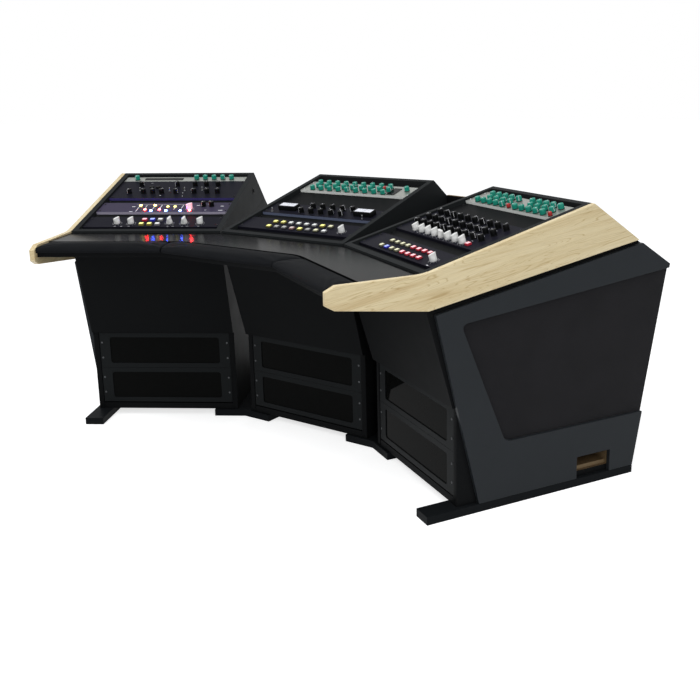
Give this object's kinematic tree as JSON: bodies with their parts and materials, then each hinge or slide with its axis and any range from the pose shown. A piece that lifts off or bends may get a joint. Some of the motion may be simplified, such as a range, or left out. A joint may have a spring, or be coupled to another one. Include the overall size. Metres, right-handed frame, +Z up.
{
  "type": "studio desk",
  "caption": "Curved studio desk with sloped racks over cabinets, a glossy deck, a padded armrest and maple cheeks.",
  "frame": {"origin": "on the floor, at the middle of the footprint", "axes": "+X to the right for someone at the desk, +Y away from them to the back, +Z up"},
  "size_m": [2.3072, 1.3608, 0.8613],
  "materials": {
    "black_board": "black laminated board",
    "gloss_board": "high gloss black lacquer",
    "pad_cover": "black upholstery leather over foam",
    "maple": "clear satin lacquer on maple",
    "vent_cloth": "black acoustic cloth",
    "black_metal": "satin black powder coat",
    "silver_panel": "brushed and anodised",
    "violet_panel": "satin paint",
    "navy_panel": "satin paint",
    "white_plastic": "satin white",
    "button_plastic": "translucent caps"
  },
  "bodies": {
    "desk": {"rack_fittings_left": "black_metal", "pointer_unit_left": "navy_panel", "lamp_unit_left": "violet_panel", "knob_unit_left": "navy_panel", "display_unit_left": "silver_panel", "rack_box_left": "black_board", "cabinet_left": "black_board", "glazed_panels_left": "black_metal", "cheek_left": "maple", "side_skin_left": "black_board", "side_vent_left": "vent_cloth", "foot_rail_left": "black_metal", "rack_fittings_centre": "black_metal", "key_unit_centre": "navy_panel", "meter_unit_centre": "navy_panel", "mixer_unit_centre": "silver_panel", "rack_box_centre": "black_board", "cabinet_centre": "black_board", "glazed_panels_centre": "black_metal", "rack_fittings_right": "black_metal", "key_unit_right": "navy_panel", "channel_unit_right": "navy_panel", "mixer_unit_right": "silver_panel", "rack_box_right": "black_board", "cabinet_right": "black_board", "glazed_panels_right": "black_metal", "cheek_right": "maple", "side_skin_right": "black_board", "side_vent_right": "vent_cloth", "foot_rail_right": "black_metal", "armrest_pad_left": "pad_cover", "joint_plate_left": "black_metal", "armrest_pad_right": "pad_cover", "joint_plate_right": "black_metal", "armrest_pad_centre": "pad_cover", "deck_panel": "gloss_board", "armrest_board": "black_board", "wedge_panel": "black_board"},
    "pointer_knob_left_1": {"pointer_knob_left_1": "white_plastic"},
    "pointer_knob_left_2": {"pointer_knob_left_2": "white_plastic"},
    "pointer_knob_left_3": {"pointer_knob_left_3": "white_plastic"},
    "pointer_knob_left_4": {"pointer_knob_left_4": "white_plastic"},
    "pointer_knob_left_5": {"pointer_knob_left_5": "white_plastic"},
    "pointer_knob_lamps": {"pointer_knob_lamps": "white_plastic"},
    "push_button_1": {"push_button_1": "button_plastic"},
    "push_button_2": {"push_button_2": "button_plastic"},
    "push_button_3": {"push_button_3": "button_plastic"},
    "push_button_4": {"push_button_4": "button_plastic"},
    "push_button_5": {"push_button_5": "button_plastic"},
    "push_button_6": {"push_button_6": "button_plastic"},
    "pointer_knob_centre": {"pointer_knob_centre": "white_plastic"},
    "pointer_knob_right": {"pointer_knob_right": "white_plastic"},
    "channel_knob_1": {"channel_knob_1": "white_plastic"},
    "channel_knob_2": {"channel_knob_2": "white_plastic"},
    "channel_knob_3": {"channel_knob_3": "white_plastic"},
    "channel_knob_4": {"channel_knob_4": "white_plastic"},
    "channel_knob_5": {"channel_knob_5": "white_plastic"},
    "channel_knob_6": {"channel_knob_6": "white_plastic"},
    "channel_knob_7": {"channel_knob_7": "white_plastic"},
    "channel_knob_8": {"channel_knob_8": "white_plastic"}
  },
  "joints": [
    {"name": "pointer_knob_left_1_turn", "type": "hinge", "parent": "desk", "child": "pointer_knob_left_1", "pos_m": [-0.64086, -0.2958, 0.72716], "axis": [0.1311, -0.2271, 0.965], "range_deg": [-110, 190]},
    {"name": "pointer_knob_left_2_turn", "type": "hinge", "parent": "desk", "child": "pointer_knob_left_2", "pos_m": [-0.59781, -0.27094, 0.72716], "axis": [0.1311, -0.2271, 0.965], "range_deg": [-110, 190]},
    {"name": "pointer_knob_left_3_turn", "type": "hinge", "parent": "desk", "child": "pointer_knob_left_3", "pos_m": [-0.47828, -0.20193, 0.72716], "axis": [0.1311, -0.2271, 0.965], "range_deg": [-140, 160]},
    {"name": "pointer_knob_left_4_turn", "type": "hinge", "parent": "desk", "child": "pointer_knob_left_4", "pos_m": [-0.43314, -0.17587, 0.72716], "axis": [0.1311, -0.2271, 0.965], "range_deg": [-140, 160]},
    {"name": "pointer_knob_left_5_turn", "type": "hinge", "parent": "desk", "child": "pointer_knob_left_5", "pos_m": [-0.38382, -0.1474, 0.72716], "axis": [0.1311, -0.2271, 0.965], "range_deg": [-100, 200]},
    {"name": "pointer_knob_lamps_turn", "type": "hinge", "parent": "desk", "child": "pointer_knob_lamps", "pos_m": [-0.5083, -0.07561, 0.76096], "axis": [0.1311, -0.2271, 0.965], "range_deg": [-80, 220]},
    {"name": "push_button_1_travel", "type": "slide", "parent": "desk", "child": "push_button_1", "axis": [-0.1311, 0.2271, -0.965], "range_m": [0, 0.0025], "stiffness_N_per_m": 300, "springref_m": -0.0015},
    {"name": "push_button_2_travel", "type": "slide", "parent": "desk", "child": "push_button_2", "axis": [-0.1311, 0.2271, -0.965], "range_m": [0, 0.0025], "stiffness_N_per_m": 300, "springref_m": -0.0015},
    {"name": "push_button_3_travel", "type": "slide", "parent": "desk", "child": "push_button_3", "axis": [-0.1311, 0.2271, -0.965], "range_m": [0, 0.0025], "stiffness_N_per_m": 300, "springref_m": -0.0015},
    {"name": "push_button_4_travel", "type": "slide", "parent": "desk", "child": "push_button_4", "axis": [-0.1311, 0.2271, -0.965], "range_m": [0, 0.0025], "stiffness_N_per_m": 300, "springref_m": -0.0015},
    {"name": "push_button_5_travel", "type": "slide", "parent": "desk", "child": "push_button_5", "axis": [-0.1311, 0.2271, -0.965], "range_m": [0, 0.0025], "stiffness_N_per_m": 300, "springref_m": -0.0015},
    {"name": "push_button_6_travel", "type": "slide", "parent": "desk", "child": "push_button_6", "axis": [-0.1311, 0.2271, -0.965], "range_m": [0, 0.0025], "stiffness_N_per_m": 300, "springref_m": -0.0015},
    {"name": "pointer_knob_centre_turn", "type": "hinge", "parent": "desk", "child": "pointer_knob_centre", "pos_m": [0.18821, -0.07738, 0.73054], "axis": [0, -0.2622, 0.965], "range_deg": [-130, 170]},
    {"name": "pointer_knob_right_turn", "type": "hinge", "parent": "desk", "child": "pointer_knob_right", "pos_m": [0.69117, -0.3293, 0.72611], "axis": [-0.1311, -0.2271, 0.965], "range_deg": [-150, 150]},
    {"name": "channel_knob_1_turn", "type": "hinge", "parent": "desk", "child": "channel_knob_1", "pos_m": [0.46787, -0.0636, 0.75829], "axis": [-0.1311, -0.2271, 0.965], "range_deg": [-150, 150]},
    {"name": "channel_knob_2_turn", "type": "hinge", "parent": "desk", "child": "channel_knob_2", "pos_m": [0.50256, -0.08362, 0.75829], "axis": [-0.1311, -0.2271, 0.965], "range_deg": [-150, 150]},
    {"name": "channel_knob_3_turn", "type": "hinge", "parent": "desk", "child": "channel_knob_3", "pos_m": [0.53725, -0.10365, 0.75829], "axis": [-0.1311, -0.2271, 0.965], "range_deg": [-150, 150]},
    {"name": "channel_knob_4_turn", "type": "hinge", "parent": "desk", "child": "channel_knob_4", "pos_m": [0.57194, -0.12368, 0.75829], "axis": [-0.1311, -0.2271, 0.965], "range_deg": [-140, 160]},
    {"name": "channel_knob_5_turn", "type": "hinge", "parent": "desk", "child": "channel_knob_5", "pos_m": [0.60663, -0.14371, 0.75829], "axis": [-0.1311, -0.2271, 0.965], "range_deg": [-240, 60]},
    {"name": "channel_knob_6_turn", "type": "hinge", "parent": "desk", "child": "channel_knob_6", "pos_m": [0.64132, -0.16374, 0.75829], "axis": [-0.1311, -0.2271, 0.965], "range_deg": [-145, 155]},
    {"name": "channel_knob_7_turn", "type": "hinge", "parent": "desk", "child": "channel_knob_7", "pos_m": [0.67601, -0.18376, 0.75829], "axis": [-0.1311, -0.2271, 0.965], "range_deg": [-150, 150]},
    {"name": "channel_knob_8_turn", "type": "hinge", "parent": "desk", "child": "channel_knob_8", "pos_m": [0.71069, -0.20379, 0.75829], "axis": [-0.1311, -0.2271, 0.965], "range_deg": [-155, 145]}
  ]
}
